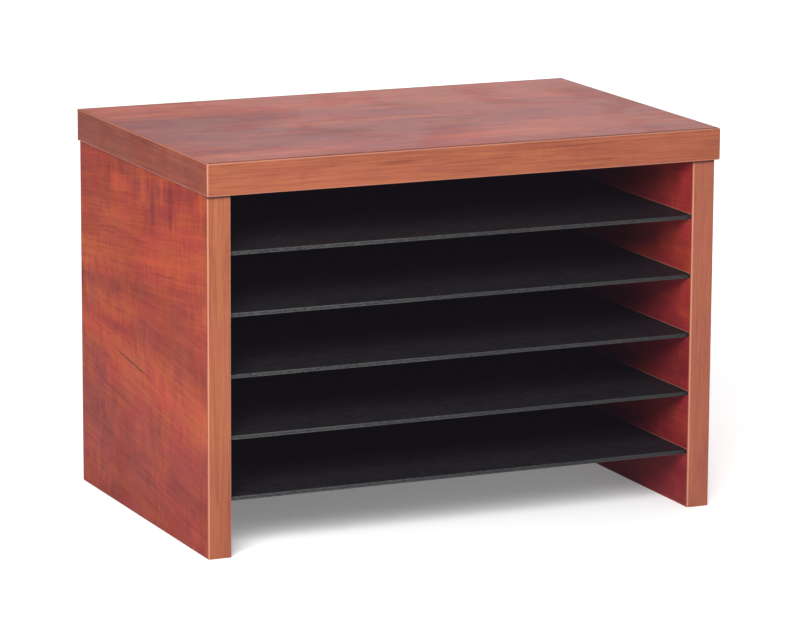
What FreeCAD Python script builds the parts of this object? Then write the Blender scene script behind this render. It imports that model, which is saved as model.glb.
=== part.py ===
"""Desktop file sorter: a laminated particle-board case with five fixed hardboard shelves.

Units are millimetres. The origin is the centre of the footprint, at desk level.
+X is to the user's right, +Y is towards the back, +Z is up, and the open front faces -Y.
Every piece is a node of its own. A node whose piece comes in several bits is one compound.
"""

import FreeCAD, Part
import os

# Overall sizes
overall_width = 431.8
overall_depth = 279.4
overall_height = 304.8

# The boards: particle-board cores faced on both sides with printed laminate
top_thickness = 25.4
side_thickness = 19.05
laminate_thickness = 0.8
side_overhang = 2.0
front_overhang = 5.0

# Edge bands: thick ones with rounded arrises at the front and on the top's ends, thin ones elsewhere
thick_band = 2.0
thick_band_radius = 1.6
thin_band = 1.0
thin_band_radius = 0.6

# Shelves: hardboard, slid into grooves in the sides from the rear
shelf_count = 5
shelf_thickness = 3.2
lowest_space = 42.8
shelf_setback = 5.0
shelf_arris = 0.5
groove_depth = 6.0
groove_spare_height = 0.8
shelf_spare_width = 1.0

# Back panel: hardboard, set in a rabbet along the sides and the top's underside
back_panel_thickness = 3.2
rabbet_width = 6.35
rabbet_depth = 4.0
back_panel_spare = 0.5
back_panel_desk_gap = 3.0

# Panel pins that hold the back panel
pin_radius = 0.7
pin_head_radius = 1.5
pin_head_thickness = 0.5
pin_length = 16.0
pin_hole_spare = 0.05
top_pin_count = 4
top_pin_spacing = 110.0

# Wooden dowels that join the top to the sides
dowel_radius = 4.0
dowel_length = 30.0
dowel_chamfer = 1.0
dowel_depth_in_top = 12.0
dowel_hole_spare = 0.05
dowel_end_gap = 0.5
dowel_count = 3
dowel_spacing = 100.0

# Places that follow from the sizes above
half_width = overall_width / 2
front = -overall_depth / 2
back = overall_depth / 2
underside = overall_height - top_thickness
side_outer = half_width - side_overhang
side_inner = side_outer - side_thickness
side_front = front + front_overhang
rabbet_floor = back - rabbet_depth
rabbet_side = side_inner + rabbet_width
rabbet_top = underside + rabbet_width
panel_rear = rabbet_floor + back_panel_thickness
shelf_pitch = (underside - lowest_space) / shelf_count
clear_space = shelf_pitch - shelf_thickness
dowel_x = side_inner + side_thickness / 2
dowel_foot = underside + dowel_depth_in_top - dowel_length
rearward = FreeCAD.Vector(0, 1, 0)

# Axis numbers, and how near two planes must be to count as one
X, Y, Z = 0, 1, 2
same_plane = 1e-4


def box(low, high):
    """A block between two opposite corners."""
    size = [b - a for a, b in zip(low, high)]
    return Part.makeBox(*size, FreeCAD.Vector(*low))


def mirrored(shape):
    """The same piece on the other side of the sorter."""
    return shape.mirror(FreeCAD.Vector(0, 0, 0), FreeCAD.Vector(1, 0, 0))


def edges_on(solid, axis_a, place_a, axis_b, place_b):
    """The straight edges of a block that lie where two of its face planes meet."""
    found = []
    for edge in solid.Edges:
        middle = edge.CenterOfMass
        if max(abs(middle[axis_a] - place_a), abs(middle[axis_b] - place_b)) < same_plane:
            found.append(edge)
    return found


def pin_places():
    """X and Z of each panel pin: one per clear space up both sides, and a row along the top."""
    side_x = side_inner + rabbet_width / 2
    places = []
    heights = [underside - space * shelf_pitch - clear_space / 2 for space in range(shelf_count)]
    for height in heights + [lowest_space / 2]:
        places += [(-side_x, height), (side_x, height)]
    for number in range(top_pin_count):
        across = (number - (top_pin_count - 1) / 2) * top_pin_spacing
        places.append((across, underside + rabbet_width / 2))
    return places


def pin_shank(radius, x, z):
    """A rod along a pin's line, from its point to the rear of the back panel."""
    point = FreeCAD.Vector(x, panel_rear - pin_length, z)
    return Part.makeCylinder(radius, pin_length, point, rearward)


def pin_holes():
    """The pins' tracks, to be cut out of whatever the pins are driven through."""
    track_radius = pin_radius + pin_hole_spare
    return Part.makeCompound([pin_shank(track_radius, x, z) for x, z in pin_places()])


def dowel_places():
    """Y of each dowel, along the middle of a side's thickness."""
    return [(number - (dowel_count - 1) / 2) * dowel_spacing for number in range(dowel_count)]


def dowel_holes():
    """The drilled holes on both sides, from the foot of each dowel to just above its head."""
    hole_radius = dowel_radius + dowel_hole_spare
    holes = []
    for x in (-dowel_x, dowel_x):
        for y in dowel_places():
            foot = FreeCAD.Vector(x, y, dowel_foot)
            holes.append(Part.makeCylinder(hole_radius, dowel_length + dowel_end_gap, foot))
    return Part.makeCompound(holes)


def rear_rabbet():
    """The step along the rear inner edges of the sides and the top, where the back panel sits."""
    low = (-rabbet_side, rabbet_floor, 0)
    high = (rabbet_side, back, rabbet_top)
    return box(low, high)


def shelf_bottom(number):
    """The underside of a shelf. Shelf 1 is the highest."""
    return underside - number * shelf_pitch


def right_grooves():
    """The five shelf grooves in the right side's inner face, from the front band to the rabbet."""
    groove_height = shelf_thickness + groove_spare_height
    grooves = []
    for number in range(1, shelf_count + 1):
        low = (side_inner, side_front + thick_band, shelf_bottom(number))
        high = (side_inner + groove_depth, rabbet_floor, low[Z] + groove_height)
        grooves.append(box(low, high))
    return Part.makeCompound(grooves)


def make_top():
    """The top board: core, two laminates and an edge band on each of its four edges."""
    inner_x = half_width - thick_band
    inner_front = front + thick_band
    inner_back = back - thin_band
    core_low = (-inner_x, inner_front, underside + laminate_thickness)
    core_high = (inner_x, inner_back, overall_height - laminate_thickness)
    core = box(core_low, core_high).cut(rear_rabbet()).cut(dowel_holes()).cut(pin_holes())
    laminate = box((-inner_x, inner_front, core_high[Z]), (inner_x, inner_back, overall_height))
    under = box((-inner_x, inner_front, underside), (inner_x, inner_back, core_low[Z]))
    under = under.cut(rear_rabbet()).cut(dowel_holes())
    return {
        "top_core": core,
        "top_laminate": laminate,
        "top_underside_laminate": under,
        "top_front_edge_band": top_front_band(inner_front),
        "top_back_edge_band": top_back_band(inner_back),
        "top_right_edge_band": top_end_band(inner_x, inner_front, inner_back),
        "top_left_edge_band": mirrored(top_end_band(inner_x, inner_front, inner_back)),
    }


def top_front_band(inner_front):
    """Covers the whole front edge and both front corners, all rounded to one radius."""
    band = box((-half_width, front, underside), (half_width, inner_front, overall_height))
    rounded = []
    for z in (underside, overall_height):
        rounded += edges_on(band, Y, front, Z, z)
        for x in (-half_width, half_width):
            rounded += edges_on(band, X, x, Z, z)
    for x in (-half_width, half_width):
        rounded += edges_on(band, X, x, Y, front)
    return band.makeFillet(thick_band_radius, rounded)


def top_back_band(inner_back):
    """Covers the rear edge, cut narrower where the back panel's rabbet runs."""
    band = box((-half_width, inner_back, underside), (half_width, back, overall_height))
    rounded = edges_on(band, Y, back, Z, overall_height)
    for x in (-half_width, half_width):
        rounded += edges_on(band, X, x, Y, back)
    return band.makeFillet(thin_band_radius, rounded).cut(rear_rabbet())


def top_end_band(inner_x, inner_front, inner_back):
    """The right end's band, between the front band and the back band."""
    band = box((inner_x, inner_front, underside), (half_width, inner_back, overall_height))
    rounded = edges_on(band, X, half_width, Z, underside)
    rounded += edges_on(band, X, half_width, Z, overall_height)
    return band.makeFillet(thick_band_radius, rounded)


def make_right_side():
    """The right side board: core, two laminates, and bands on its front, back and bottom edges."""
    core_front = side_front + thick_band
    core_back = back - thin_band
    inner_face = side_inner + laminate_thickness
    outer_face = side_outer - laminate_thickness
    cuts = (rear_rabbet(), right_grooves(), dowel_holes(), pin_holes())
    core = box((inner_face, core_front, thin_band), (outer_face, core_back, underside))
    for cut in cuts:
        core = core.cut(cut)
    inner = box((side_inner, core_front, thin_band), (inner_face, core_back, underside))
    inner = inner.cut(rear_rabbet()).cut(right_grooves())
    bottom = box((side_inner, core_front, 0), (side_outer, core_back, thin_band))
    return {
        "core": core,
        "outer_laminate": box((outer_face, core_front, thin_band), (side_outer, core_back, underside)),
        "inner_laminate": inner,
        "front_edge_band": side_front_band(core_front),
        "back_edge_band": side_back_band(core_back),
        "bottom_edge_band": bottom.cut(rear_rabbet()),
    }


def side_front_band(core_front):
    """The upright front band, rounded along both of its long front arrises."""
    band = box((side_inner, side_front, 0), (side_outer, core_front, underside))
    rounded = edges_on(band, X, side_inner, Y, side_front)
    rounded += edges_on(band, X, side_outer, Y, side_front)
    return band.makeFillet(thick_band_radius, rounded)


def side_back_band(core_back):
    """The rear band, on the part of the edge that the rabbet leaves."""
    band = box((rabbet_side, core_back, 0), (side_outer, back, underside))
    return band.makeFillet(thin_band_radius, edges_on(band, X, side_outer, Y, back))


def make_sides():
    pieces = {}
    for name, shape in make_right_side().items():
        pieces["right_side_" + name] = shape
        pieces["left_side_" + name] = mirrored(shape)
    return pieces


def make_shelves():
    """Like shelves at an even pitch, each standing on the lower faces of its two grooves."""
    half_shelf = side_inner + groove_depth - shelf_spare_width / 2
    shelf_front = side_front + shelf_setback
    shelves = {}
    for number in range(1, shelf_count + 1):
        low = (-half_shelf, shelf_front, shelf_bottom(number))
        shelf = box(low, (half_shelf, rabbet_floor, low[Z] + shelf_thickness))
        eased = edges_on(shelf, Y, shelf_front, Z, low[Z])
        eased += edges_on(shelf, Y, shelf_front, Z, low[Z] + shelf_thickness)
        shelves["shelf_%d" % number] = shelf.makeFillet(shelf_arris, eased)
    return shelves


def make_back_panel():
    half_panel = rabbet_side - back_panel_spare
    low = (-half_panel, rabbet_floor, back_panel_desk_gap)
    high = (half_panel, panel_rear, rabbet_top - back_panel_spare)
    return box(low, high).cut(pin_holes())


def make_pins():
    """Flat-headed panel pins, their heads against the rear of the back panel."""
    pins = []
    for x, z in pin_places():
        seat = FreeCAD.Vector(x, panel_rear, z)
        head = Part.makeCylinder(pin_head_radius, pin_head_thickness, seat, rearward)
        pins.append(pin_shank(pin_radius, x, z).fuse(head).removeSplitter())
    return Part.makeCompound(pins)


def make_right_dowels():
    dowels = []
    for y in dowel_places():
        dowel = Part.makeCylinder(dowel_radius, dowel_length, FreeCAD.Vector(dowel_x, y, dowel_foot))
        rims = [edge for edge in dowel.Edges if len(edge.Vertexes) == 1]
        dowels.append(dowel.makeChamfer(dowel_chamfer, rims))
    return Part.makeCompound(dowels)


def make_pieces():
    pieces = {}
    pieces.update(make_top())
    pieces.update(make_sides())
    pieces.update(make_shelves())
    pieces["back_panel"] = make_back_panel()
    pieces["back_panel_pins"] = make_pins()
    pieces["right_dowels"] = make_right_dowels()
    pieces["left_dowels"] = mirrored(make_right_dowels())
    return pieces


os.makedirs("parts", exist_ok=True)
for name, shape in make_pieces().items():
    shape.exportStep("parts/%s.step" % name)
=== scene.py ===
import math

import bpy
from mathutils import Matrix, Vector


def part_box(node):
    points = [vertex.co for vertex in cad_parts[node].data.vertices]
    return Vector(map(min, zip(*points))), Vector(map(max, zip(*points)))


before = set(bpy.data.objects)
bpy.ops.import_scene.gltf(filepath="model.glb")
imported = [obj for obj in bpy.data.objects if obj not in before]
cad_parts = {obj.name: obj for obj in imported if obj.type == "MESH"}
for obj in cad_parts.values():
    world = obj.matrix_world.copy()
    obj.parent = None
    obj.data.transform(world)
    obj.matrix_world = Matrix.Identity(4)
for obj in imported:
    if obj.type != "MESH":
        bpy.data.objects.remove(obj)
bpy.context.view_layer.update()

# ---------------------------------------------------------------------------------------------
# The board cores
# Three particle-board panels, the top and the two sides, joined by glued dowels. They show only
# where a board is cut: in the shelf grooves, and in the step at the back for the back panel.
# ---------------------------------------------------------------------------------------------


def put(tree, socket, value):
    """Sets a socket to a plain value, or links it to another node's output."""
    if isinstance(value, bpy.types.NodeSocket):
        tree.links.new(value, socket)
    else:
        socket.default_value = value


def add(tree, kind, sockets, **settings):
    """Adds a shader node, with its settings and then its sockets."""
    made = tree.nodes.new("ShaderNode" + kind)
    for name, value in settings.items():
        setattr(made, name, value)
    for name, value in sockets.items():
        put(tree, made.inputs[name], value)
    return made


def maths(tree, operation, *values, clamp=False):
    """One step of arithmetic on numbers."""
    sockets = dict(enumerate(values))
    return add(tree, "Math", sockets, operation=operation, use_clamp=clamp).outputs[0]


# Where a colour Mix node keeps its amount, its two colours and its result
MIX_AMOUNT, MIX_FIRST, MIX_SECOND, MIX_RESULT = 0, 6, 7, 2


def mix(tree, amount, first, second, blend="MIX"):
    """Mixes two colours."""
    sockets = {MIX_AMOUNT: amount, MIX_FIRST: first, MIX_SECOND: second}
    return add(tree, "Mix", sockets, data_type="RGBA", blend_type=blend).outputs[MIX_RESULT]


def ease(tree, value, low, high, to_low=0.0, to_high=1.0):
    """A soft step: to_low below low, to_high above high."""
    sockets = {0: value, 1: low, 2: high, 3: to_low, 4: to_high}
    return add(tree, "MapRange", sockets, interpolation_type="SMOOTHSTEP").outputs[0]


def lumps(tree, place, size, detail=2.0, roughness=0.5, distortion=0.0):
    """Noise from 0 to 1. size is how long its lumps are in each direction, in mm."""
    per_mm = tuple(1.0 / length for length in size)
    scaled = add(tree, "VectorMath", {0: place, 1: per_mm}, operation="MULTIPLY").outputs[0]
    sockets = {"Vector": scaled, "Scale": 1.0, "Detail": detail}
    sockets.update({"Roughness": roughness, "Distortion": distortion})
    return add(tree, "TexNoise", sockets).outputs[0]


def place_in_mm(tree, axes="XYZ", offset=(0.0, 0.0, 0.0)):
    """Where a point of the surface is, in mm, with the axes in the order given."""
    local = add(tree, "TexCoord", {}).outputs["Object"]
    apart = add(tree, "SeparateXYZ", {0: local}).outputs
    order = add(tree, "CombineXYZ", {i: apart[axis] for i, axis in enumerate(axes)}).outputs[0]
    scaled = add(tree, "VectorMath", {0: order, "Scale": 1000.0}, operation="SCALE").outputs[0]
    return add(tree, "VectorMath", {0: scaled, 1: offset}, operation="ADD").outputs[0]


def bump(tree, height, distance_mm, strength=1.0):
    """Turns a height into a normal. distance_mm is how tall a height of 1 stands."""
    sockets = {"Height": height, "Distance": distance_mm / 1000.0, "Strength": strength}
    return add(tree, "Bump", sockets).outputs["Normal"]


def new_material(name):
    """An empty material: itself, its tree, and the shader that its colour and gloss go to."""
    made = bpy.data.materials.new(name)
    made.use_nodes = True
    return made, made.node_tree, made.node_tree.nodes["Principled BSDF"]


def clothe(material, *names):
    """Gives CAD nodes their material."""
    for name in names:
        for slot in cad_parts[name].material_slots:
            slot.material = material


CHIP_SIZE = (3.4, 1.6, 1.6)
CHIP_FIBRE = (2.5, 0.3, 0.3)
CHIP_RELIEF = 0.15
CHIP_STRAW = (0.52, 0.36, 0.19, 1.0)
CHIP_BARK = (0.20, 0.115, 0.055, 1.0)


def particle_board():
    """Pale wood chips pressed with resin, with a darker chip here and there."""
    material, tree, shader = new_material("particle_board")
    place = place_in_mm(tree)
    per_mm = tuple(1.0 / length for length in CHIP_SIZE)
    warped = add(tree, "VectorMath", {0: place, 1: per_mm}, operation="MULTIPLY").outputs[0]
    chips = add(tree, "TexVoronoi", {"Vector": warped, "Scale": 1.0, "Randomness": 1.0})
    chip_tone = add(tree, "SeparateColor", {0: chips.outputs["Color"]}).outputs[0]
    fibres = lumps(tree, place, CHIP_FIBRE, detail=3.0)
    straw = ease(tree, maths(tree, "MULTIPLY", chip_tone, fibres), 0.05, 0.45)
    put(tree, shader.inputs["Base Color"], mix(tree, straw, CHIP_BARK, CHIP_STRAW))
    put(tree, shader.inputs["Roughness"], ease(tree, fibres, 0.2, 0.8, 0.95, 0.75))
    height = maths(tree, "ADD", chips.outputs["Distance"], fibres)
    put(tree, shader.inputs["Normal"], bump(tree, height, CHIP_RELIEF, 0.6))
    return material


clothe(particle_board(), "top_core", "left_side_core", "right_side_core")

# ---------------------------------------------------------------------------------------------
# The laminates
# Printed melamine sheets, 0.8 mm thick, pressed on both faces of each board. The print is a
# reddish cherry: slow cloudy figure along the board, a faint ripple across it, fine fibres,
# small dark flecks and a few thin mineral streaks. The surface is satin.
# ---------------------------------------------------------------------------------------------

CHERRY_DARK = (0.150, 0.0155, 0.0125, 1.0)
CHERRY_MIDDLE = (0.258, 0.0325, 0.0150, 1.0)
CHERRY_LIGHT = (0.385, 0.0640, 0.0190, 1.0)
CHERRY_FLECK = (0.060, 0.0085, 0.0080, 1.0)
CHERRY_CHIPPED = (0.42, 0.17, 0.12, 1.0)
CRIMSON_DRIFT = (1.00, 0.86, 1.12, 1.0)
ORANGE_DRIFT = (1.00, 1.12, 0.90, 1.0)
JOINT_BROWN = (0.050, 0.012, 0.008, 1.0)

# How long each mark of the print is along the grain, across it and through the board, in mm
CLOUD_SIZE = (90.0, 16.0, 40.0)
BLOTCH_SIZE = (15.0, 26.0, 26.0)
BLOTCHED_AREA = (80.0, 50.0, 50.0)
RIPPLE_SIZE = (2.6, 22.0, 20.0)
RIPPLED_AREA = (45.0, 34.0, 34.0)
STREAK_SIZE = (70.0, 2.2, 2.2)
FIBRE_SIZE = (14.0, 0.45, 0.45)
GROWTH_SIZE = (260.0, 44.0, 60.0)
GROWTH_BREAKS = (34.0, 9.0, 9.0)
DRIFT_SIZE = (48.0, 20.0, 30.0)
FLECK_SIZE = (2.4, 1.6, 1.6)
WANDER_SIZE = (110.0, 50.0, 50.0)
GROWTH_RINGS = 9.0


def start_group(name, inputs, outputs):
    """An empty node group. inputs are (name, kind, default), and outputs are (name, kind)."""
    group = bpy.data.node_groups.new(name, "ShaderNodeTree")
    for label, kind, default in inputs:
        socket = group.interface.new_socket(label, in_out="INPUT", socket_type="NodeSocket" + kind)
        if default is not None:
            socket.default_value = default
    for label, kind in outputs:
        group.interface.new_socket(label, in_out="OUTPUT", socket_type="NodeSocket" + kind)
    given = group.nodes.new("NodeGroupInput").outputs
    result = group.nodes.new("NodeGroupOutput").inputs
    return group, given, result


def use_group(tree, group, sockets):
    """Places a group in a material, with this material's own values."""
    made = tree.nodes.new("ShaderNodeGroup")
    made.node_tree = group
    for name, value in sockets.items():
        put(tree, made.inputs[name], value)
    return made.outputs


def wood_print_group():
    """The printed wood: x runs along the grain, y across it, z through the board, all in mm."""
    group, given, result = start_group(
        "Wood print",
        [
            ("Place", "Vector", None),
            ("Slow tone", "Float", 0.5),
            ("Cloud", "Float", 0.5),
            ("Blotch", "Float", 0.3),
            ("Ripple", "Float", 0.3),
            ("Streak", "Float", 0.3),
            ("Growth line", "Float", 0.3),
            ("Fibre", "Float", 0.2),
            ("Fineness", "Float", 1.0),
            ("Drift", "Float", 1.0),
            ("Fleck", "Float", 0.5),
            ("Dark", "Color", CHERRY_DARK),
            ("Middle", "Color", CHERRY_MIDDLE),
            ("Light", "Color", CHERRY_LIGHT),
            ("Fleck colour", "Color", CHERRY_FLECK),
        ],
        [("Color", "Color"), ("Tone", "Float"), ("Height", "Float")],
    )
    place = given["Place"]

    def around_zero(value, strength):
        """Centres a value from 0 to 1 on zero, and scales it."""
        return maths(group, "MULTIPLY", maths(group, "SUBTRACT", value, 0.5), strength)

    # Slow, cloudy figure, drawn out along the grain
    cloud = lumps(group, place, CLOUD_SIZE, detail=4.0, roughness=0.55, distortion=0.5)
    # Blotches and a close ripple that stand across the grain, strong here and absent there
    blotch = lumps(group, place, BLOTCH_SIZE, detail=3.0, roughness=0.55, distortion=0.3)
    where_blotched = ease(group, lumps(group, place, BLOTCHED_AREA, detail=1.0), 0.36, 0.62)
    ripple = lumps(group, place, RIPPLE_SIZE, detail=2.0, roughness=0.55)
    where_rippled = ease(group, lumps(group, place, RIPPLED_AREA, detail=1.0), 0.36, 0.62)
    # Streaks a couple of mm wide along the grain, and hair-fine fibres in them
    fineness = given["Fineness"]
    squeeze = add(group, "CombineXYZ", {0: 1.0, 1: fineness, 2: fineness}).outputs[0]
    fine_place = add(group, "VectorMath", {0: place, 1: squeeze}, operation="MULTIPLY").outputs[0]
    streak = lumps(group, fine_place, STREAK_SIZE, detail=4.0, roughness=0.6, distortion=0.2)
    fibre = lumps(group, fine_place, FIBRE_SIZE, detail=3.0, roughness=0.65)
    tone = given["Slow tone"]
    for value, strength in (
        (cloud, given["Cloud"]),
        (blotch, maths(group, "MULTIPLY", given["Blotch"], where_blotched)),
        (ripple, maths(group, "MULTIPLY", given["Ripple"], where_rippled)),
        (streak, given["Streak"]),
        (fibre, given["Fibre"]),
    ):
        tone = maths(group, "ADD", tone, around_zero(value, strength))
    # Growth lines: thin, broken, darker lines along the contours of a slow field
    field = lumps(group, place, GROWTH_SIZE, detail=2.0, roughness=0.4, distortion=0.3)
    ring = maths(group, "PINGPONG", maths(group, "MULTIPLY", field, GROWTH_RINGS), 0.5)
    line = ease(group, ring, 0.0, 0.075, 1.0, 0.0)
    broken = ease(group, lumps(group, place, GROWTH_BREAKS, detail=2.0), 0.50, 0.66)
    line = maths(group, "MULTIPLY", maths(group, "MULTIPLY", line, broken), given["Growth line"])
    tone = maths(group, "SUBTRACT", tone, line)
    below_middle = maths(group, "MULTIPLY", tone, 2.0, clamp=True)
    darker = mix(group, below_middle, given["Dark"], given["Middle"])
    above_middle = maths(group, "MULTIPLY_ADD", tone, 2.0, -1.0, clamp=True)
    colour = mix(group, above_middle, darker, given["Light"])
    # The whole print drifts a little between crimson and orange
    drift = lumps(group, place, DRIFT_SIZE, detail=3.0, distortion=0.4)
    tint = mix(group, ease(group, drift, 0.38, 0.62), CRIMSON_DRIFT, ORANGE_DRIFT)
    colour = mix(group, given["Drift"], colour, tint, "MULTIPLY")
    # A small dark fleck now and then
    fleck = ease(group, lumps(group, place, FLECK_SIZE, detail=1.0), 0.76, 0.82)
    fleck = maths(group, "MULTIPLY", fleck, given["Fleck"])
    put(group, result["Color"], mix(group, fleck, colour, given["Fleck colour"]))
    put(group, result["Tone"], tone)
    height = maths(group, "SUBTRACT", maths(group, "MULTIPLY", fibre, 0.5), fleck)
    put(group, result["Height"], height)
    return group


SCUFF_SIZE = (26.0, 0.35, 0.35)
ORANGE_PEEL_SIZE = (0.6, 0.6, 0.6)


def surface_marks_group():
    """What a sheet picks up: slow smudges that dull the gloss, fine scuffs, and orange peel."""
    group, given, result = start_group(
        "Surface marks",
        [("Place", "Vector", None), ("Smudge size", "Float", 60.0)],
        [("Smudge", "Float"), ("Scuff", "Float"), ("Orange peel", "Float")],
    )
    place = given["Place"]
    reach = maths(group, "DIVIDE", 1.0, given["Smudge size"])
    slowed = add(group, "VectorMath", {0: place, "Scale": reach}, operation="SCALE").outputs[0]
    sockets = {"Vector": slowed, "Scale": 1.0, "Detail": 3.0, "Distortion": 0.8}
    smudge = add(group, "TexNoise", sockets).outputs[0]
    put(group, result["Smudge"], ease(group, smudge, 0.35, 0.7))
    scuffs = lumps(group, place, SCUFF_SIZE, detail=1.0, distortion=0.5)
    put(group, result["Scuff"], ease(group, scuffs, 0.72, 0.80))
    put(group, result["Orange peel"], lumps(group, place, ORANGE_PEEL_SIZE, detail=2.0))
    return group


wood_print = wood_print_group()
surface_marks = surface_marks_group()


def grey_ramp(tree, value, stops):
    """A tone that follows a value through a few stops of (value, tone)."""
    ramp = add(tree, "ValToRGB", {0: value})
    while len(ramp.color_ramp.elements) < len(stops):
        ramp.color_ramp.elements.new(0.5)
    for element, (where, tone) in zip(ramp.color_ramp.elements, stops):
        element.position = where
        element.color = (tone, tone, tone, 1.0)
    ramp.color_ramp.interpolation = "EASE"
    return ramp.outputs[0]


def own_part(seed):
    """Which part of the print a piece is cut from, in mm, so that no two are alike."""
    return (seed, seed * 0.7, seed * 1.3)


def edge_distance(tree, axes, node):
    """How far a point is from the nearest edge of a flat piece, in mm, along two of its axes."""
    low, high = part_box(node)
    local = add(tree, "TexCoord", {}).outputs["Object"]
    apart = add(tree, "SeparateXYZ", {0: local}).outputs
    nearest = None
    for axis in axes:
        number = "XYZ".index(axis)
        from_low = maths(tree, "SUBTRACT", apart[axis], low[number])
        from_high = maths(tree, "SUBTRACT", high[number], apart[axis])
        near = maths(tree, "MINIMUM", from_low, from_high)
        nearest = near if nearest is None else maths(tree, "MINIMUM", nearest, near)
    return maths(tree, "MULTIPLY", nearest, 1000.0)


def soft_patch(tree, place, centre, half_size, strength):
    """Adds strength inside a soft oval, in mm along and across the grain."""
    away = add(tree, "VectorMath", {0: place, 1: (*centre, 0.0)}, operation="SUBTRACT").outputs[0]
    per_mm = (1 / half_size[0], 1 / half_size[1], 0.0)
    shrunk = add(tree, "VectorMath", {0: away, 1: per_mm}, operation="MULTIPLY").outputs[0]
    reach = add(tree, "VectorMath", {0: shrunk}, operation="LENGTH").outputs["Value"]
    return ease(tree, reach, 0.25, 1.0, strength, 0.0)


CRACK_WAVE = (16.0, 60.0, 60.0)
CRACK_WANDER = 3.0
CRACK_TIP = 0.05


def crack(tree, place, start, length, width, strength):
    """A thin dark mineral streak along the grain, drawn to a point at both ends."""
    along, across, _ = add(tree, "SeparateXYZ", {0: place}).outputs
    wave = maths(tree, "MULTIPLY", lumps(tree, place, CRACK_WAVE, detail=2.0), CRACK_WANDER)
    off_line = maths(tree, "SUBTRACT", maths(tree, "SUBTRACT", across, start[1]), wave)
    off_middle = maths(tree, "SUBTRACT", along, start[0] + length / 2)
    off_middle = maths(tree, "ABSOLUTE", off_middle)
    taper = ease(tree, off_middle, 0.25 * length, 0.5 * length, 1.0, 0.0)
    half_width = maths(tree, "MULTIPLY_ADD", taper, width, CRACK_TIP)
    reach = maths(tree, "DIVIDE", maths(tree, "ABSOLUTE", off_line), half_width)
    return maths(tree, "MULTIPLY", ease(tree, reach, 0.3, 1.0, strength, 0.0), taper)


GROOVE_HEIGHT = 4.0
CHIP_REACH = 0.75
CHIPPING_SIZE = (6.0, 6.0, 6.0)


def groove_chipping(tree):
    """A pale, uneven line where the saw chipped the sheet along the top of each shelf groove."""
    groove_tops = [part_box(name)[0].z * 1000.0 + GROOVE_HEIGHT for name in ("shelf_5", "shelf_4")]
    pitch = groove_tops[1] - groove_tops[0]
    place = place_in_mm(tree)
    height = add(tree, "SeparateXYZ", {0: place}).outputs[2]
    above = maths(tree, "FLOORED_MODULO", maths(tree, "SUBTRACT", height, groove_tops[0]), pitch)
    uneven = lumps(tree, place, CHIPPING_SIZE, detail=4.0, roughness=0.7)
    reach = maths(tree, "MULTIPLY_ADD", uneven, -CHIP_REACH, above)
    above_lowest = maths(tree, "GREATER_THAN", height, groove_tops[0] - CHIP_REACH)
    return maths(tree, "MULTIPLY", ease(tree, reach, 0.0, 0.3 * CHIP_REACH, 0.8, 0.0), above_lowest)


SHEET_FLECKS = 0.45
SHEET_CLEAN, SHEET_SMUDGED = 0.38, 0.45
SCUFF_DULLING = 0.08
JOINT_DARKENING = 0.6
JOINT_DULLING = 0.6
SHEET_RELIEF = 0.02


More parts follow.
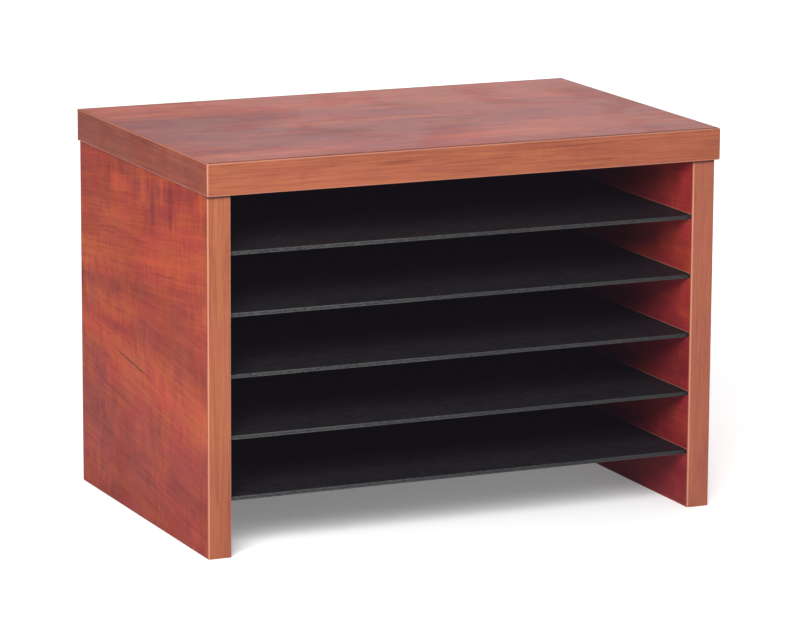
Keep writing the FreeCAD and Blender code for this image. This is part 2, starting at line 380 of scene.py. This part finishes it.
def laminate(node, axes, seed, sheet):
    """One printed sheet. axes are along and across the grain and through the board.
    Its grain fans out: it runs down towards one end in one part, and up in the other."""
    material, tree, shader = new_material(node + "_print")
    low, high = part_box(node)
    corner = tuple(-1000.0 * low["XYZ".index(axis)] for axis in axes)
    on_sheet = place_in_mm(tree, axes, corner)
    along, across, through = add(tree, "SeparateXYZ", {0: on_sheet}).outputs
    grain_axis, across_axis = ("XYZ".index(axis) for axis in axes[:2])
    span = (high[across_axis] - low[across_axis]) * 1000.0
    middle = 500.0 * (high[grain_axis] - low[grain_axis])
    fan_from, fan_to, tilt_below, tilt_above = sheet["fan"]
    tilt = ease(tree, across, fan_from * span, fan_to * span, tilt_below, tilt_above)
    from_middle = maths(tree, "SUBTRACT", along, middle)
    fanned = maths(tree, "SUBTRACT", across, maths(tree, "MULTIPLY", from_middle, tilt))
    flowing = add(tree, "CombineXYZ", {0: along, 1: fanned, 2: through}).outputs[0]
    wander = lumps(tree, flowing, WANDER_SIZE, detail=2.0)
    lowest = maths(tree, "SUBTRACT", fanned, sheet["wander"])
    shifted = maths(tree, "MULTIPLY_ADD", wander, 2.0 * sheet["wander"], lowest)
    slow = grey_ramp(tree, maths(tree, "DIVIDE", shifted, span), sheet["bands"])
    for centre, half_size, strength in sheet["patches"]:
        patch = soft_patch(tree, flowing, centre, half_size, strength)
        slow = maths(tree, "ADD", slow, patch)
    sockets = {0: flowing, 1: own_part(seed)}
    place = add(tree, "VectorMath", sockets, operation="ADD").outputs[0]
    wood = use_group(
        tree,
        wood_print,
        {
            "Place": place,
            "Slow tone": slow,
            "Cloud": sheet["cloud"],
            "Blotch": sheet["blotch"],
            "Ripple": sheet["ripple"],
            "Streak": sheet["streak"],
            "Growth line": sheet["growth"],
            "Fibre": sheet["fibre"],
            "Fineness": sheet["fineness"],
            "Fleck": SHEET_FLECKS,
            **sheet.get("colours", {}),
        },
    )
    marks = use_group(tree, surface_marks, {"Place": place, "Smudge size": 70.0})
    colour = wood["Color"]
    for start, length, width, strength in sheet["cracks"]:
        mark = crack(tree, flowing, start, length, width, strength)
        colour = mix(tree, mark, colour, CHERRY_FLECK)
    from_edge = edge_distance(tree, sheet["joint_axes"], node)
    joint = ease(tree, from_edge, 0.3 * sheet["joint"], sheet["joint"], JOINT_DARKENING, 0.0)
    colour = mix(tree, joint, colour, JOINT_BROWN)
    if "inner" in node:
        colour = mix(tree, groove_chipping(tree), colour, CHERRY_CHIPPED)
    put(tree, shader.inputs["Base Color"], colour)
    dull = ease(tree, marks["Smudge"], 0.0, 1.0, SHEET_CLEAN, SHEET_SMUDGED)
    dull = maths(tree, "MULTIPLY_ADD", marks["Scuff"], SCUFF_DULLING, dull)
    put(tree, shader.inputs["Roughness"], maths(tree, "MULTIPLY_ADD", joint, JOINT_DULLING, dull))
    shader.inputs["Specular IOR Level"].default_value = sheet["gloss"]
    height = maths(tree, "MULTIPLY_ADD", wood["Height"], 0.4, marks["Orange peel"])
    put(tree, shader.inputs["Normal"], bump(tree, height, SHEET_RELIEF, 0.5))
    return material


# Each sheet's slow figure. fan: where the grain's tilt changes, as parts of the width, and the tilt
# below and above. bands: tones across the grain. patches: place, half size and tone to add.
# cracks: start, length, half width and strength. joint: how wide the dark line is along the
# edges that face the joint axes. Places and sizes are in mm.
TOP_SHEET = {
    "fan": (0.0, 1.0, 0.02, -0.02),
    "wander": 18.0,
    "bands": ((0.0, 0.40), (0.16, 0.38), (0.36, 0.36), (0.60, 0.42), (0.84, 0.66), (1.0, 0.70)),
    "patches": (
        ((80.0, 184.0), (210.0, 32.0), -0.28),
        ((30.0, 150.0), (110.0, 90.0), -0.22),
        ((110.0, 80.0), (190.0, 60.0), -0.20),
        ((250.0, 112.0), (110.0, 24.0), -0.15),
        ((245.0, 40.0), (80.0, 26.0), 0.38),
        ((185.0, 140.0), (130.0, 8.0), 0.28),
        ((60.0, 30.0), (90.0, 16.0), 0.25),
        ((340.0, 60.0), (120.0, 50.0), 0.26),
        ((425.0, 235.0), (60.0, 50.0), -0.30),
    ),
    "cracks": (),
    "cloud": 0.80,
    "blotch": 0.20,
    "ripple": 0.10,
    "streak": 1.60,
    "growth": 0.60,
    "fibre": 1.80,
    "fineness": 0.30,
    "joint": 2.2,
    "joint_axes": "Y",
    "gloss": 0.105,
}
SIDE_SHEET = {
    "fan": (0.40, 0.80, 0.12, -0.10),
    "wander": 6.0,
    "bands": ((0.0, 0.36), (0.23, 0.34), (0.42, 0.78), (0.56, 0.38), (0.74, 0.66), (1.0, 0.40)),
    "patches": (
        ((60.0, 150.0), (80.0, 14.0), -0.12),
        ((225.0, 150.0), (70.0, 18.0), 0.32),
        ((130.0, 262.0), (9.0, 20.0), 0.40),
        ((112.0, 250.0), (7.0, 26.0), -0.35),
        ((92.0, 262.0), (7.0, 18.0), 0.38),
        ((74.0, 250.0), (9.0, 26.0), -0.35),
        ((185.0, 262.0), (20.0, 16.0), 0.28),
        ((250.0, 190.0), (50.0, 30.0), 0.06),
        ((40.0, 40.0), (60.0, 26.0), -0.05),
        ((235.0, 95.0), (50.0, 22.0), -0.15),
        ((232.0, 56.0), (50.0, 24.0), -0.14),
        ((41.0, 97.0), (40.0, 16.0), -0.10),
        ((137.0, 181.0), (40.0, 16.0), -0.15),
    ),
    "cracks": (
        ((102.0, 115.0), 108.0, 0.8, 0.85),
        ((128.0, 115.0), 56.0, 1.1, 0.60),
        ((150.0, 80.0), 80.0, 0.8, 0.50),
        ((184.0, 221.0), 44.0, 0.7, 0.50),
        ((60.0, 196.0), 70.0, 0.7, 0.40),
    ),
    "cloud": 0.85,
    "blotch": 1.25,
    "ripple": 0.85,
    "streak": 0.95,
    "growth": 0.12,
    "fibre": 0.70,
    "fineness": 0.8,
    "joint": 0.5,
    "joint_axes": "YZ",
    "gloss": 0.035,
}
PLAIN_SHEET = {
    "fan": (0.2, 0.8, 0.05, -0.06),
    "wander": 20.0,
    "bands": ((0.0, 0.20), (0.30, 0.38), (0.65, 0.20), (1.0, 0.36)),
    "patches": (),
    "cracks": (),
    "cloud": 0.9,
    "blotch": 1.20,
    "ripple": 0.75,
    "streak": 0.75,
    "growth": 0.15,
    "fibre": 0.40,
    "fineness": 0.9,
    "joint": 0.5,
    "joint_axes": "YZ",
    "gloss": 0.035,
}
UNDERSIDE_SHEET = dict(PLAIN_SHEET, joint_axes="XY")
CRIMSON_PRINT = {
    "Dark": (0.150, 0.0135, 0.0145, 1.0),
    "Middle": (0.258, 0.0260, 0.0200, 1.0),
    "Light": (0.360, 0.0470, 0.0270, 1.0),
}
RIGHT_INNER_SHEET = dict(
    PLAIN_SHEET,
    wander=8.0,
    bands=((0.0, 0.02), (0.27, 0.32), (0.43, 0.08), (0.58, 0.48), (0.78, 0.53), (1.0, 0.38)),
    colours=CRIMSON_PRINT,
)
SHEETS = (
    ("top_laminate", "XYZ", 11.0, TOP_SHEET),
    ("top_underside_laminate", "XYZ", 340.0, UNDERSIDE_SHEET),
    ("left_side_outer_laminate", "YZX", 57.0, SIDE_SHEET),
    ("left_side_inner_laminate", "YZX", 620.0, PLAIN_SHEET),
    ("right_side_inner_laminate", "YZX", 910.0, RIGHT_INNER_SHEET),
    ("right_side_outer_laminate", "YZX", 1250.0, PLAIN_SHEET),
)
for sheet_name, axes, seed, sheet in SHEETS:
    clothe(laminate(sheet_name, axes, seed, sheet), sheet_name)

# ---------------------------------------------------------------------------------------------
# The edge bands
# Printed PVC strips glued round every board: 2 mm with a scraped, rounded arris at the front
# and on the top's ends, 1 mm elsewhere. The print is lighter and more orange than the boards,
# with a fine straight grain. Each rounded arris has a paler line, partly scraper whitening and
# partly painted highlight, weaker where the arris faces down.
# ---------------------------------------------------------------------------------------------

BAND_PRINT = {
    "Dark": (0.120, 0.0290, 0.0165, 1.0),
    "Middle": (0.218, 0.0610, 0.0290, 1.0),
    "Light": (0.285, 0.0890, 0.0370, 1.0),
    "Fleck colour": (0.075, 0.0200, 0.0100, 1.0),
}
# The strips on the top's ends take a darker, redder copy of the band print, which is painted shade,
# and the strip on the right side comes from a redder batch
SHADED_END_PRINT = {
    "Dark": (0.088, 0.0120, 0.0045, 1.0),
    "Middle": (0.186, 0.0280, 0.0082, 1.0),
    "Light": (0.268, 0.0490, 0.0142, 1.0),
    "Fleck colour": (0.060, 0.0120, 0.0070, 1.0),
}
ROSY_PRINT = {
    "Dark": (0.125, 0.0310, 0.0200, 1.0),
    "Middle": (0.222, 0.0640, 0.0365, 1.0),
    "Light": (0.280, 0.0880, 0.0460, 1.0),
    "Fleck colour": (0.075, 0.0200, 0.0120, 1.0),
}
SCRAPED_AND_HIGHLIT = (0.47, 0.215, 0.145, 1.0)
# How far down a strip's upper end is darkened, in mm: glue in the joint and painted shade under the
# top
SEAM_SHADE_HEIGHT = 3.0
BAND_CLEAN, BAND_SMUDGED = 0.40, 0.48
BAND_GLOSS = 0.12
GLUE_DULLING = 0.5
BAND_RELIEF = 0.02


def edge_band(name, axes, seed, tone, glue, seam_shade, colours):
    """A strip whose grain runs along the first of its axes. glue says how dark its upper arris is,
    where the trimmer left some glue on it, and seam_shade how dark its upper end is under the top:
    partly glue in the joint, partly painted shade from the top's overhang."""
    material, tree, shader = new_material(name + "_print")
    place = place_in_mm(tree, axes, own_part(seed))
    wood = use_group(
        tree,
        wood_print,
        {
            "Place": place,
            "Slow tone": tone,
            "Cloud": 0.70,
            "Blotch": 0.25,
            "Ripple": 0.15,
            "Streak": 1.35,
            "Growth line": 0.15,
            "Fibre": 0.90,
            "Fineness": 1.4,
            "Drift": 0.25,
            "Fleck": 0.15,
            **colours,
        },
    )
    marks = use_group(tree, surface_marks, {"Place": place, "Smudge size": 45.0})
    normal = add(tree, "NewGeometry", {}).outputs["Normal"]
    facing_up = add(tree, "SeparateXYZ", {0: normal}).outputs[2]
    facing = add(tree, "VectorMath", {0: normal}, operation="ABSOLUTE").outputs[0]
    parts = add(tree, "SeparateXYZ", {0: facing}).outputs
    flattest = maths(tree, "MAXIMUM", maths(tree, "MAXIMUM", parts[0], parts[1]), parts[2])
    rounded = ease(tree, flattest, 0.80, 0.99, 1.0, 0.0)
    # Painted highlight, partly scraper whitening: the rounded arrises are paler, less where they
    # face down
    scrape_and_highlight = ease(tree, facing_up, -0.9, -0.3, 0.25, 0.60)
    worn_and_highlit = mix(tree, maths(tree, "MULTIPLY", rounded, scrape_and_highlight), wood["Color"], SCRAPED_AND_HIGHLIT)
    glued = ease(tree, facing_up, 0.62, 0.86, 0.0, glue)
    colour = mix(tree, glued, worn_and_highlit, JOINT_BROWN)
    if seam_shade:
        top_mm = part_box(name)[1].z * 1000.0
        height_mm = add(tree, "SeparateXYZ", {0: place_in_mm(tree)}).outputs[2]
        below = maths(tree, "SUBTRACT", top_mm, height_mm)
        # Painted shade under the top's overhang, partly glue in the joint: the strip's upper end is
        # darkened
        glue_and_shade = ease(tree, below, 0.4 * SEAM_SHADE_HEIGHT, SEAM_SHADE_HEIGHT, seam_shade, 0.0)
        colour = mix(tree, glue_and_shade, colour, JOINT_BROWN)
    put(tree, shader.inputs["Base Color"], colour)
    dull = ease(tree, marks["Smudge"], 0.0, 1.0, BAND_CLEAN, BAND_SMUDGED)
    dull = maths(tree, "MULTIPLY_ADD", wood["Tone"], -0.05, dull)
    put(tree, shader.inputs["Roughness"], maths(tree, "MULTIPLY_ADD", glued, GLUE_DULLING, dull))
    shader.inputs["Specular IOR Level"].default_value = BAND_GLOSS
    height = maths(tree, "MULTIPLY_ADD", wood["Height"], 0.8, marks["Orange peel"])
    put(tree, shader.inputs["Normal"], bump(tree, height, BAND_RELIEF, 0.5))
    return material


# name, axes, seed, tone, glue, darkening of the upper end (glue and painted shade) and colours
BANDS = (
    ("top_front_edge_band", "XZY", 31.0, 0.49, 0.5, 0.0, BAND_PRINT),
    ("top_back_edge_band", "XZY", 77.0, 0.50, 0.6, 0.0, BAND_PRINT),
    # The top's left strip also has a lower tone than the front strip: painted shade
    ("top_left_edge_band", "YZX", 120.0, 0.44, 0.0, 0.0, SHADED_END_PRINT),
    ("top_right_edge_band", "YZX", 163.0, 0.50, 0.6, 0.0, SHADED_END_PRINT),
    ("left_side_front_edge_band", "ZXY", 208.0, 0.58, 0.0, 0.85, BAND_PRINT),
    ("left_side_back_edge_band", "ZXY", 251.0, 0.50, 0.0, 0.85, BAND_PRINT),
    ("left_side_bottom_edge_band", "YXZ", 294.0, 0.50, 0.0, 0.0, BAND_PRINT),
    ("right_side_front_edge_band", "ZXY", 337.0, 0.58, 0.0, 0.85, ROSY_PRINT),
    ("right_side_back_edge_band", "ZXY", 380.0, 0.50, 0.0, 0.85, BAND_PRINT),
    ("right_side_bottom_edge_band", "YXZ", 423.0, 0.50, 0.0, 0.0, BAND_PRINT),
)
for band_name, axes, seed, tone, glue, seam_shade, colours in BANDS:
    clothe(edge_band(band_name, axes, seed, tone, glue, seam_shade, colours), band_name)

# ---------------------------------------------------------------------------------------------
# The shelves and the back panel
# Black-coated hardboard: shelves slid into the sides' grooves, and a panel in the step at the back.
# One face is smooth with a faint fibrous nap, and the other keeps the mesh of the press screen. The
# sawn front edge of a shelf shows grey fibre, paler along its two arrises, partly rubbed and partly
# painted highlight, with more painted highlight towards its left end, and black painted shade where
# it runs into the grooves.
# ---------------------------------------------------------------------------------------------

BOARD_BLACK = (0.0058, 0.0050, 0.0060, 1.0)
BOARD_FIBRE = (0.0265, 0.0235, 0.0270, 1.0)
EDGE_GREY = (0.0040, 0.0039, 0.0040, 1.0)
EDGE_PALE = (0.046, 0.045, 0.044, 1.0)
LENGTHWISE_FIBRE = (5.0, 0.35, 0.35)
CROSSWISE_FIBRE = (0.35, 5.0, 0.35)
SPECK_SIZE = (0.8, 0.8, 0.8)
NAP_SIZE = (9.0, 7.0, 7.0)


def pressed_fibre_group():
    """Matted wood fibre under paint, and the press screen's mesh, with places in mm."""
    group, given, result = start_group(
        "Pressed fibre",
        [("Place", "Vector", None), ("Mesh pitch", "Float", 1.6)],
        [("Fibre", "Float"), ("Speck", "Float"), ("Nap", "Float"), ("Mesh", "Float")],
    )
    place = given["Place"]
    tangled = {"detail": 3.0, "roughness": 0.7, "distortion": 1.2}
    lengthwise = lumps(group, place, LENGTHWISE_FIBRE, **tangled)
    crosswise = lumps(group, place, CROSSWISE_FIBRE, **tangled)
    put(group, result["Fibre"], maths(group, "MAXIMUM", lengthwise, crosswise))
    specks = lumps(group, place, SPECK_SIZE, detail=1.0)
    put(group, result["Speck"], ease(group, specks, 0.66, 0.78))
    put(group, result["Nap"], lumps(group, place, NAP_SIZE, detail=5.0, roughness=0.65))
    turns = maths(group, "DIVIDE", 2.0 * math.pi, given["Mesh pitch"])
    apart = add(group, "SeparateXYZ", {0: place}).outputs
    waves = []
    for axis in range(3):
        waves.append(maths(group, "SINE", maths(group, "MULTIPLY", apart[axis], turns)))
    mesh = maths(group, "MAXIMUM", maths(group, "MAXIMUM", waves[0], waves[1]), waves[2])
    put(group, result["Mesh"], mesh)
    return group


pressed_fibre = pressed_fibre_group()


MESH_PITCH = 1.7
MOTTLE_SIZE = (3.4, 13.0, 3.4)
PATCHY_SIZE = (90.0, 45.0, 45.0)
TORN_SIZE = (4.0, 0.8, 0.8)
BOARD_GLOSS = 0.25
BOARD_RELIEF = 0.08

# How far back the sawn edge's grey goes, how far it fades into the grooves' painted shade, and half
# the board, in m
EDGE_REACH = 0.0008
GROOVE_SHADE_FADE = 0.0006
HALF_BOARD = 0.0016


def hardboard(name, screened_axis, screened_sign, seed, front=None, ends=None, middle=None):
    """Coated hardboard with a screened face, which looks along screened_axis times screened_sign.
    A shelf also has a sawn front edge, grey between the sides and black inside the grooves as
    painted shade, paler along its arrises (partly rubbed, partly painted highlight) and towards its
    left end as
    painted highlight: front, ends and middle say where that edge, its ends and its middle height
    are, in metres."""
    material, tree, shader = new_material(name)
    place = place_in_mm(tree, "XYZ", (seed, seed, seed))
    fibre = use_group(tree, pressed_fibre, {"Place": place, "Mesh pitch": MESH_PITCH})
    marks = use_group(tree, surface_marks, {"Place": place, "Smudge size": 90.0})
    normal = add(tree, "NewGeometry", {}).outputs["Normal"]
    normal = add(tree, "SeparateXYZ", {0: normal}).outputs
    screened = maths(tree, "MULTIPLY", normal[screened_axis], screened_sign)
    screened = ease(tree, screened, 0.4, 0.7)
    tangle = ease(tree, fibre["Fibre"], 0.45, 0.85)
    specks = maths(tree, "MULTIPLY", fibre["Speck"], 0.35)
    coated = maths(tree, "MULTIPLY_ADD", tangle, 0.40, specks)
    mottle = lumps(tree, place, MOTTLE_SIZE, detail=4.0, roughness=0.7)
    coated = maths(tree, "MULTIPLY", coated, ease(tree, mottle, 0.40, 0.60, 0.10, 2.1))
    coated = maths(tree, "ADD", coated, ease(tree, fibre["Nap"], 0.35, 0.75, 0.0, 0.12))
    colour = mix(tree, coated, BOARD_BLACK, BOARD_FIBRE)
    if front is not None:
        local = add(tree, "TexCoord", {}).outputs["Object"]
        local = add(tree, "SeparateXYZ", {0: local}).outputs
        sawn = ease(tree, maths(tree, "MULTIPLY", normal["Y"], -1.0), 0.25, 0.75)
        at_front = maths(tree, "LESS_THAN", local["Y"], front + EDGE_REACH)
        sawn = maths(tree, "MULTIPLY", sawn, at_front)
        # Painted shade: the sawn edge's grey fades out at the sides and stays black inside the
        # grooves
        from_end = maths(tree, "SUBTRACT", ends, maths(tree, "ABSOLUTE", local["X"]))
        sawn = maths(tree, "MULTIPLY", sawn, ease(tree, from_end, 0.0, GROOVE_SHADE_FADE))
        off_middle = maths(tree, "ABSOLUTE", maths(tree, "SUBTRACT", local["Z"], middle))
        # Painted highlight, partly rubbed fibre: the edge is paler along its two arrises
        arris = ease(tree, off_middle, 0.35 * HALF_BOARD, 0.80 * HALF_BOARD)
        patchy = lumps(tree, place, PATCHY_SIZE, detail=2.0)
        patchy = ease(tree, patchy, 0.35, 0.65, 0.25, 1.0)
        torn = lumps(tree, place, TORN_SIZE, detail=3.0, roughness=0.7)
        torn = ease(tree, torn, 0.38, 0.62, 0.0, 0.60)
        rubbed_and_highlit = maths(tree, "MULTIPLY", arris, patchy)
        edge_tone = maths(tree, "MULTIPLY_ADD", rubbed_and_highlit, 0.75, torn, clamp=True)
        # Painted highlight: the edge is paler towards its left end, nearest the key lamp
        highlight_along_edge = ease(tree, local["X"], -ends, ends, 1.1, 0.45)
        edge_tone = maths(tree, "MULTIPLY", edge_tone, highlight_along_edge)
        colour = mix(tree, sawn, colour, mix(tree, edge_tone, EDGE_GREY, EDGE_PALE))
    put(tree, shader.inputs["Base Color"], colour)
    dull = ease(tree, fibre["Nap"], 0.3, 0.7, 0.52, 0.66)
    put(tree, shader.inputs["Roughness"], maths(tree, "MULTIPLY_ADD", marks["Smudge"], 0.08, dull))
    shader.inputs["Specular IOR Level"].default_value = BOARD_GLOSS
    relief = maths(tree, "MULTIPLY", maths(tree, "MULTIPLY", fibre["Mesh"], screened), 0.6)
    height = maths(tree, "ADD", maths(tree, "ADD", fibre["Fibre"], fibre["Nap"]), relief)
    put(tree, shader.inputs["Normal"], bump(tree, height, BOARD_RELIEF, 0.8))
    return material


SHELF_SEED_STEP = 40.0
shelf_names = sorted(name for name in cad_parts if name.startswith("shelf_"))
shelf_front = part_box("shelf_1")[0].y
side_face = -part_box("left_side_inner_laminate")[1].x
for number, shelf_name in enumerate(shelf_names):
    middle = (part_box(shelf_name)[0].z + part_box(shelf_name)[1].z) / 2
    name = shelf_name + "_hardboard"
    seed = SHELF_SEED_STEP * number
    clothe(hardboard(name, "Z", -1.0, seed, shelf_front, side_face, middle), shelf_name)
clothe(hardboard("back_hardboard", "Y", 1.0, 300.0), "back_panel")

# ---------------------------------------------------------------------------------------------
# The panel pins
# Flat-headed zinc-plated pins, driven through the back panel into the boards.
# ---------------------------------------------------------------------------------------------

ZINC = (0.52, 0.52, 0.54, 1.0)
ZINC_DULL = (0.30, 0.29, 0.28, 1.0)
DULL_SPOT_SIZE = (0.8, 0.8, 0.8)
TURNING_SIZE = (0.2, 0.2, 0.2)
PIN_RELIEF = 0.02


def zinc():
    """Plated steel, dulled in blotches, with turning marks on the head."""
    material, tree, shader = new_material("zinc_plate")
    place = place_in_mm(tree)
    blotch = ease(tree, lumps(tree, place, DULL_SPOT_SIZE, detail=3.0), 0.35, 0.7)
    put(tree, shader.inputs["Base Color"], mix(tree, blotch, ZINC, ZINC_DULL))
    put(tree, shader.inputs["Roughness"], ease(tree, blotch, 0.0, 1.0, 0.28, 0.55))
    shader.inputs["Metallic"].default_value = 1.0
    turning = lumps(tree, place, TURNING_SIZE, detail=2.0)
    put(tree, shader.inputs["Normal"], bump(tree, turning, PIN_RELIEF))
    return material


clothe(zinc(), "back_panel_pins")

# ---------------------------------------------------------------------------------------------
# The dowels
# Turned beech pegs, glued into the top and the sides. They are out of sight.
# ---------------------------------------------------------------------------------------------

BEECH_DARK = (0.36, 0.205, 0.105, 1.0)
BEECH_MIDDLE = (0.50, 0.315, 0.180, 1.0)
BEECH_LIGHT = (0.60, 0.410, 0.250, 1.0)
BEECH_FLECK = (0.22, 0.120, 0.060, 1.0)


def beech():
    """Pale beech, with the short dark flecks that it has along the grain."""
    material, tree, shader = new_material("beech")
    place = place_in_mm(tree, "ZXY", (9.0, 4.0, 2.0))
    wood = use_group(
        tree,
        wood_print,
        {
            "Place": place,
            "Slow tone": 0.5,
            "Cloud": 0.2,
            "Blotch": 0.0,
            "Ripple": 0.0,
            "Streak": 0.6,
            "Growth line": 0.0,
            "Fibre": 0.5,
            "Fineness": 1.5,
            "Drift": 0.2,
            "Fleck": 0.9,
            "Dark": BEECH_DARK,
            "Middle": BEECH_MIDDLE,
            "Light": BEECH_LIGHT,
            "Fleck colour": BEECH_FLECK,
        },
    )
    put(tree, shader.inputs["Base Color"], wood["Color"])
    put(tree, shader.inputs["Roughness"], ease(tree, wood["Tone"], 0.2, 0.8, 0.8, 0.65))
    put(tree, shader.inputs["Normal"], bump(tree, wood["Height"], 0.05))
    return material


clothe(beech(), "left_dowels", "right_dowels")

# ---------------------------------------------------------------------------------------------
# The desk top that it stands on
# A plain pale sweep of translucent sheet, a little uneven in tone and gloss, faintly lit from
# below so that the shadows on it stay light.
# ---------------------------------------------------------------------------------------------

SWEEP_HALF = 6.0
SWEEP_WHITE = (0.94, 0.94, 0.945, 1.0)
SWEEP_SHADE = (0.92, 0.92, 0.925, 1.0)
SWEEP_GLOW = 0.20
SWEEP_GLOSS = 0.1
TOOTH_SIZE = (1.5, 1.5, 1.5)


def make_sweep():
    """A level square of sheet, with the sorter on its middle."""
    quarters = ((-1, -1), (1, -1), (1, 1), (-1, 1))
    corners = [(x * SWEEP_HALF, y * SWEEP_HALF, 0.0) for x, y in quarters]
    mesh = bpy.data.meshes.new("sweep")
    mesh.from_pydata(corners, [], [(0, 1, 2, 3)])
    sweep = bpy.data.objects.new("sweep", mesh)
    bpy.context.scene.collection.objects.link(sweep)
    material, tree, shader = new_material("sweep_paper")
    place = place_in_mm(tree)
    tooth = lumps(tree, place, TOOTH_SIZE, detail=4.0)
    put(tree, shader.inputs["Base Color"], mix(tree, tooth, SWEEP_WHITE, SWEEP_SHADE))
    put(tree, shader.inputs["Roughness"], ease(tree, tooth, 0.3, 0.7, 0.75, 0.85))
    shader.inputs["Specular IOR Level"].default_value = SWEEP_GLOSS
    shader.inputs["Emission Color"].default_value = SWEEP_WHITE
    shader.inputs["Emission Strength"].default_value = SWEEP_GLOW
    mesh.materials.append(material)
    return sweep


make_sweep()

# ---------------------------------------------------------------------------------------------
# The light
# Soft studio light: a large softbox in front and to the left, a weak one low in front, one high
# behind, and a pale wall behind to the right, which the top mirrors at a low angle.
# ---------------------------------------------------------------------------------------------

WORLD_WHITE = (0.97, 0.98, 1.0, 1.0)
WORLD_STRENGTH = 0.28
AIM = Vector((0.0, 0.0, 0.14))


def direction(azimuth, elevation):
    """Points away from the sorter. Azimuth 0 is in front, positive to the right, in degrees."""
    turn, rise = math.radians(azimuth), math.radians(elevation)
    level = math.cos(rise)
    return Vector((math.sin(turn) * level, -math.cos(turn) * level, math.sin(rise)))


def softbox(name, azimuth, elevation, distance, width, height, watts, colour):
    """A rectangular lamp that looks at the sorter."""
    data = bpy.data.lights.new(name, "AREA")
    data.shape = "RECTANGLE"
    data.size = width
    data.size_y = height
    data.energy = watts
    data.color = colour
    lamp = bpy.data.objects.new(name, data)
    bpy.context.scene.collection.objects.link(lamp)
    away = direction(azimuth, elevation)
    lamp.location = AIM + away * distance
    lamp.rotation_euler = away.to_track_quat("Z", "Y").to_euler()


def make_world():
    """An even, dim white all round."""
    world = bpy.data.worlds.new("studio")
    world.use_nodes = True
    background = world.node_tree.nodes["Background"]
    background.inputs["Color"].default_value = WORLD_WHITE
    background.inputs["Strength"].default_value = WORLD_STRENGTH
    bpy.context.scene.world = world


make_world()
# name, azimuth, elevation, distance, width and height in m, watts and colour
LAMPS = (
    ("key", -35.0, 29.0, 1.9, 1.1, 0.8, 50.0, (1.0, 1.0, 1.0)),
    ("fill", 16.0, 7.0, 2.4, 1.2, 0.8, 8.0, (1.0, 1.0, 1.0)),
    ("rear", 152.0, 55.0, 3.2, 2.6, 2.6, 60.0, (1.0, 0.98, 0.95)),
    ("wall", 130.0, 18.0, 3.2, 4.0, 1.8, 20.0, (1.0, 1.0, 1.0)),
)
for lamp in LAMPS:
    softbox(*lamp)

STRAY_LIGHT = (0.0063, 0.0053, 0.0078)


def lens_flare(level):
    """A trace of stray light in the lens, so that black comes out as a very dark grey."""
    settings = bpy.context.scene.view_settings
    settings.view_transform = "Standard"
    settings.use_curve_mapping = True
    for curve, black in zip(settings.curve_mapping.curves, level):
        curve.points[0].location = (0.0, black)
    settings.curve_mapping.update()


lens_flare(STRAY_LIGHT)

# ---------------------------------------------------------------------------------------------
# The camera
# A long lens from the front left, a little above the top.
# ---------------------------------------------------------------------------------------------

CAMERA_AIM = Vector((0.0047, 0.0, 0.1412))
CAMERA_AZIMUTH = -24.31
CAMERA_ELEVATION = 11.89
CAMERA_ROLL = 0.30
CAMERA_DISTANCE = 3.4695
CAMERA_LENS = 195.7
CAMERA_REACH = 50.0


def make_camera():
    """Looks at a point inside the sorter, with a slight roll."""
    data = bpy.data.cameras.new("camera")
    data.lens = CAMERA_LENS
    data.clip_end = CAMERA_REACH
    camera = bpy.data.objects.new("camera", data)
    bpy.context.scene.collection.objects.link(camera)
    away = direction(CAMERA_AZIMUTH, CAMERA_ELEVATION)
    look = away.to_track_quat("Z", "Y").to_matrix()
    roll = Matrix.Rotation(math.radians(CAMERA_ROLL), 3, "Z")
    camera.rotation_euler = (look @ roll).to_euler()
    camera.location = CAMERA_AIM + away * CAMERA_DISTANCE
    bpy.context.scene.camera = camera


make_camera()
